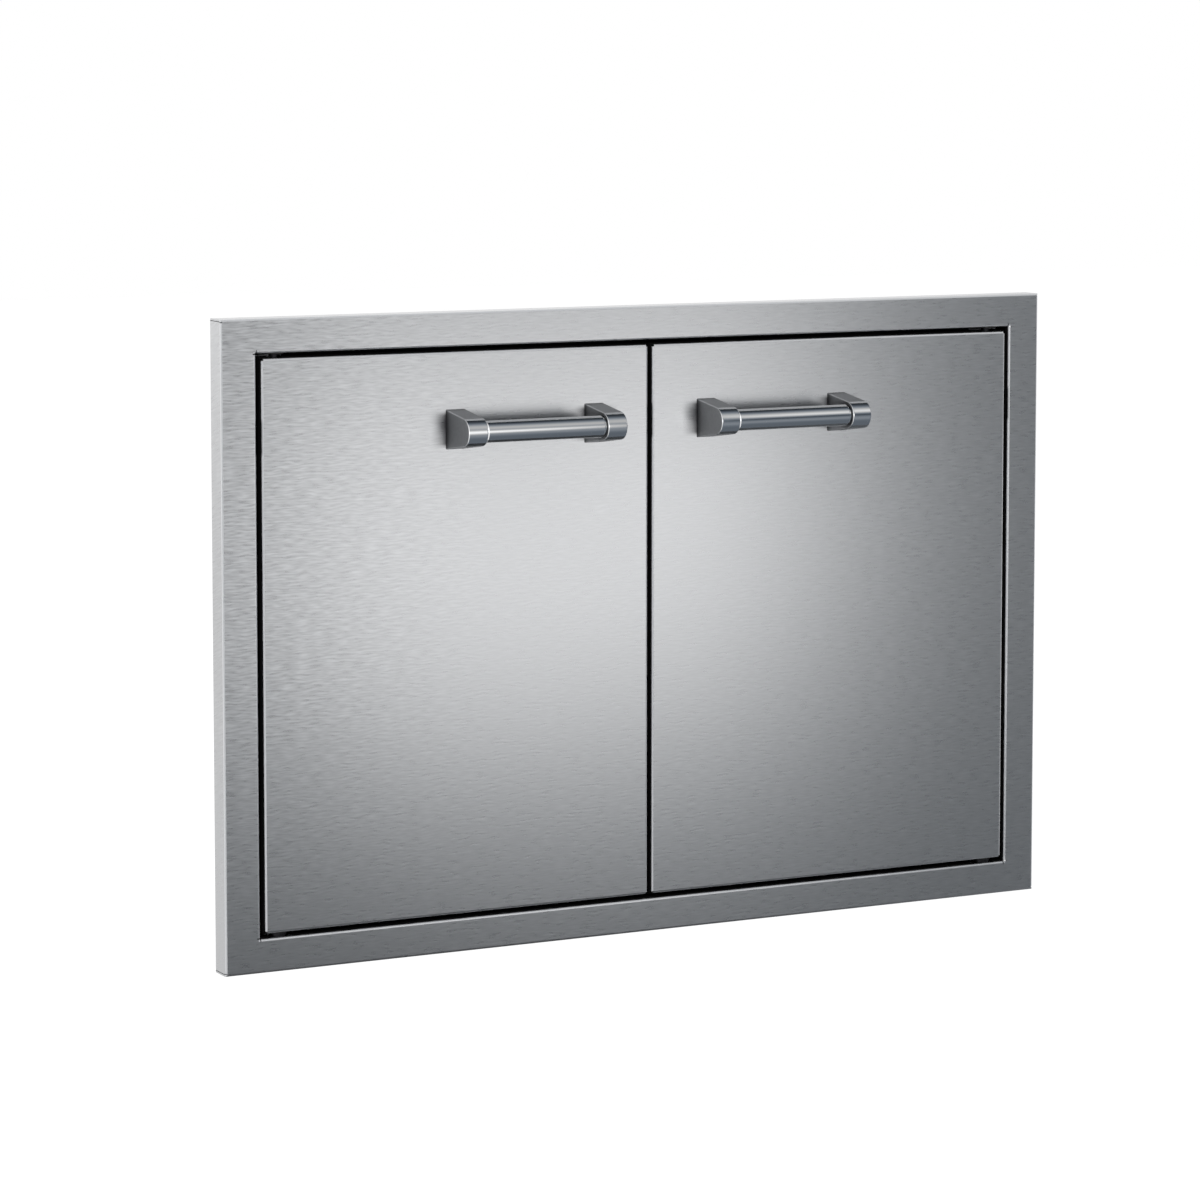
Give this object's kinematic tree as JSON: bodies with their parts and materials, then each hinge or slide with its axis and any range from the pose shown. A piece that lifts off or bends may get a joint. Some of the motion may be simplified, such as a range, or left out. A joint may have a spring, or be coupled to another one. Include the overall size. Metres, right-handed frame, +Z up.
{
  "type": "outdoor kitchen access door",
  "caption": "Flush access doors with bar handles, hung on concealed pivot pins in a raised picture-frame trim for an outdoor kitchen island.",
  "frame": {"origin": "middle of the frame, in the plane of the island's face, where the trim's rear rim rests", "axes": "+X to the right of someone facing the doors, +Y into the island, +Z up"},
  "size_m": [0.813, 0.117, 0.559],
  "materials": {
    "brushed_face_steel": "horizontal brushed grain",
    "satin_inner_steel": "plain mill satin",
    "hardware_steel": "bright zinc or stainless",
    "dark_satin_post": "satin, nearly graphite",
    "polished_bar": "polished",
    "black_nylon": "smooth",
    "blackened_steel": "black oxide",
    "black_plastic": "fine moulded",
    "magnet": "ground",
    "black_rubber": "matte"
  },
  "bodies": {
    "frame": {"face_frame": "brushed_face_steel", "frame_edge_seal": "black_rubber", "corner_braces": "satin_inner_steel", "jamb_top": "satin_inner_steel", "jamb_bottom": "satin_inner_steel", "jamb_left": "satin_inner_steel", "jamb_right": "satin_inner_steel", "door_stop_top": "satin_inner_steel", "door_stop_bottom": "satin_inner_steel", "door_stop_left": "satin_inner_steel", "door_stop_right": "satin_inner_steel", "upper_hinge_plates": "satin_inner_steel", "lower_hinge_plates": "satin_inner_steel", "lower_hinge_pins": "blackened_steel", "lower_pin_nuts": "hardware_steel", "upper_frame_bushes": "black_nylon", "catch_housing": "black_plastic", "catch_magnets": "magnet", "catch_pole_plates": "hardware_steel", "catch_screws": "hardware_steel", "stop_bumpers": "black_rubber"},
    "left_door": {"left_door_skin": "brushed_face_steel", "left_door_liner": "satin_inner_steel", "left_liner_screws": "hardware_steel", "left_door_edge_seal": "black_rubber", "left_lower_hinge_block": "hardware_steel", "left_lower_hinge_bush": "black_nylon", "left_upper_pin_bracket": "satin_inner_steel", "left_pin_spring": "hardware_steel", "left_outer_handle_post": "dark_satin_post", "left_inner_handle_post": "dark_satin_post", "left_handle_bar": "polished_bar", "left_handle_backing_plate": "satin_inner_steel", "left_handle_screws": "hardware_steel", "left_access_plugs": "black_plastic", "left_strike_plate": "hardware_steel", "left_strike_rivets": "hardware_steel", "centre_seal": "black_rubber"},
    "right_door": {"right_door_skin": "brushed_face_steel", "right_door_liner": "satin_inner_steel", "right_liner_screws": "hardware_steel", "right_door_edge_seal": "black_rubber", "right_lower_hinge_block": "hardware_steel", "right_lower_hinge_bush": "black_nylon", "right_upper_pin_bracket": "satin_inner_steel", "right_pin_spring": "hardware_steel", "right_outer_handle_post": "dark_satin_post", "right_inner_handle_post": "dark_satin_post", "right_handle_bar": "polished_bar", "right_handle_backing_plate": "satin_inner_steel", "right_handle_screws": "hardware_steel", "right_access_plugs": "black_plastic", "right_strike_plate": "hardware_steel", "right_strike_rivets": "hardware_steel"},
    "left_release_pin": {"left_upper_hinge_pin": "blackened_steel", "left_release_knob": "hardware_steel"},
    "right_release_pin": {"right_upper_hinge_pin": "blackened_steel", "right_release_knob": "hardware_steel"}
  },
  "joints": [
    {"name": "left_door_hinge", "type": "hinge", "parent": "frame", "child": "left_door", "pos_m": [-0.355, -0.0145, 0], "axis": [0, 0, -1], "range_deg": [0, 110]},
    {"name": "left_pin_release", "type": "slide", "parent": "left_door", "child": "left_release_pin", "axis": [0, 0, -1], "range_m": [0, 0.012], "stiffness_N_per_m": 400, "springref_m": -0.01, "deforming": ["left_pin_spring"]},
    {"name": "right_door_hinge", "type": "hinge", "parent": "frame", "child": "right_door", "pos_m": [0.355, -0.0145, 0], "axis": [0, 0, 1], "range_deg": [0, 110]},
    {"name": "right_pin_release", "type": "slide", "parent": "right_door", "child": "right_release_pin", "axis": [0, 0, -1], "range_m": [0, 0.012], "stiffness_N_per_m": 400, "springref_m": -0.01, "deforming": ["right_pin_spring"]}
  ]
}
